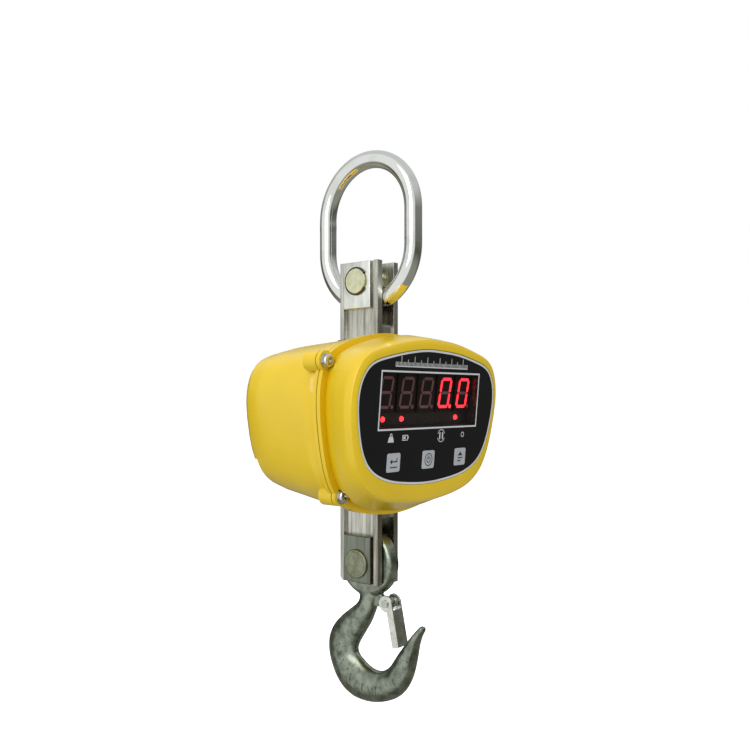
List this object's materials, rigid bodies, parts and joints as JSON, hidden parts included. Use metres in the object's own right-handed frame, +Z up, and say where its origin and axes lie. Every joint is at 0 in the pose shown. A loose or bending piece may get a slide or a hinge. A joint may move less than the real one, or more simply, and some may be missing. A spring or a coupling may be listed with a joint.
{
  "type": "crane scale",
  "caption": "Hanging crane scale: oblong lifting ring, twin-channel load frame, yellow housing with sloped black display panel and push keys, forged eye hook with spring latch.",
  "frame": {"origin": "the inner top of the lifting ring, where a crane hook carries the scale", "axes": "+Z up along the load line, -Y towards somebody reading the display, +X to that reader's right"},
  "size_m": [0.235, 0.1725, 0.5609],
  "materials": {
    "polished_chrome": "polished",
    "channel_steel": "satin",
    "pad_steel": "satin",
    "pin_plated": "satin",
    "circlip_black": "satin",
    "cell_steel": "satin",
    "fastener_steel": "satin",
    "bright_fastener": "gloss",
    "black_rubber": "matte",
    "yellow_paint": "gloss",
    "bracket_steel": "satin",
    "battery_case": "matte",
    "socket_black": "gloss",
    "overlay_black": "satin",
    "window_clear": "gloss",
    "digit_unlit": "gloss",
    "digit_lit": "gloss",
    "lamp_red": "gloss",
    "board_green": "satin",
    "standoff_brass": "satin",
    "switch_black": "matte",
    "key_grey": "matte",
    "hook_zinc": "satin",
    "latch_zinc": "satin",
    "spring_steel": "satin"
  },
  "bodies": {
    "lifting_ring": {"lifting_ring": "polished_chrome"},
    "scale_body": {"upper_channel_left": "channel_steel", "upper_channel_right": "channel_steel", "lower_channel_left": "channel_steel", "lower_channel_right": "channel_steel", "upper_pad_left": "pad_steel", "upper_pad_right": "pad_steel", "lower_pad_left": "pad_steel", "lower_pad_right": "pad_steel", "upper_pin": "pin_plated", "lower_pin": "pin_plated", "pin_circlips": "circlip_black", "load_cell": "cell_steel", "load_cell_bolts": "fastener_steel", "load_cell_nuts": "fastener_steel", "gauge_plugs": "black_rubber", "rear_housing": "yellow_paint", "front_cover": "yellow_paint", "housing_gasket": "black_rubber", "cover_screws": "bright_fastener", "cover_washers": "bright_fastener", "upper_grommet": "black_rubber", "lower_grommet": "black_rubber", "mounting_plate": "bracket_steel", "mounting_screws": "fastener_steel", "battery": "battery_case", "battery_bracket": "bracket_steel", "bracket_screws": "fastener_steel", "charge_socket": "socket_black", "socket_cap": "black_rubber", "panel_overlay": "overlay_black", "display_lens": "window_clear", "digit_1": "digit_unlit", "digit_2": "digit_unlit", "digit_3": "digit_unlit", "digit_4": "digit_lit", "digit_5": "digit_lit", "indicator_lamps": "lamp_red", "display_board": "board_green", "display_standoffs": "standoff_brass", "display_screws": "fastener_steel", "key_switches": "switch_black", "key_board": "board_green", "key_board_posts": "standoff_brass", "main_board": "board_green", "main_board_posts": "standoff_brass"},
    "hook": {"hook": "hook_zinc", "latch_pin": "fastener_steel", "latch_spring": "spring_steel"},
    "latch": {"latch": "latch_zinc"},
    "key_left": {"key_left": "key_grey"},
    "key_middle": {"key_middle": "key_grey"},
    "key_right": {"key_right": "key_grey"}
  },
  "joints": [
    {"name": "ring_swing", "type": "hinge", "parent": "lifting_ring", "child": "scale_body", "pos_m": [0, 0, -0.117], "axis": [1, 0, 0], "range_deg": [-40, 40]},
    {"name": "hook_swing", "type": "hinge", "parent": "scale_body", "child": "hook", "pos_m": [0, 0, -0.4], "axis": [1, 0, 0], "range_deg": [-45, 45]},
    {"name": "latch_open", "type": "hinge", "parent": "hook", "child": "latch", "pos_m": [0, -0.0275, -0.4385], "axis": [1, 0, 0], "range_deg": [0, 40], "stiffness_Nm_per_rad": 0.05, "springref_deg": -34.38},
    {"name": "key_left_press", "type": "slide", "parent": "scale_body", "child": "key_left", "axis": [0, 0.9962, 0.0872], "range_m": [0, 0.0006], "stiffness_N_per_m": 800, "springref_m": -0.0006},
    {"name": "key_middle_press", "type": "slide", "parent": "scale_body", "child": "key_middle", "axis": [0, 0.9962, 0.0872], "range_m": [0, 0.0006], "stiffness_N_per_m": 800, "springref_m": -0.0006},
    {"name": "key_right_press", "type": "slide", "parent": "scale_body", "child": "key_right", "axis": [0, 0.9962, 0.0872], "range_m": [0, 0.0006], "stiffness_N_per_m": 800, "springref_m": -0.0006}
  ]
}
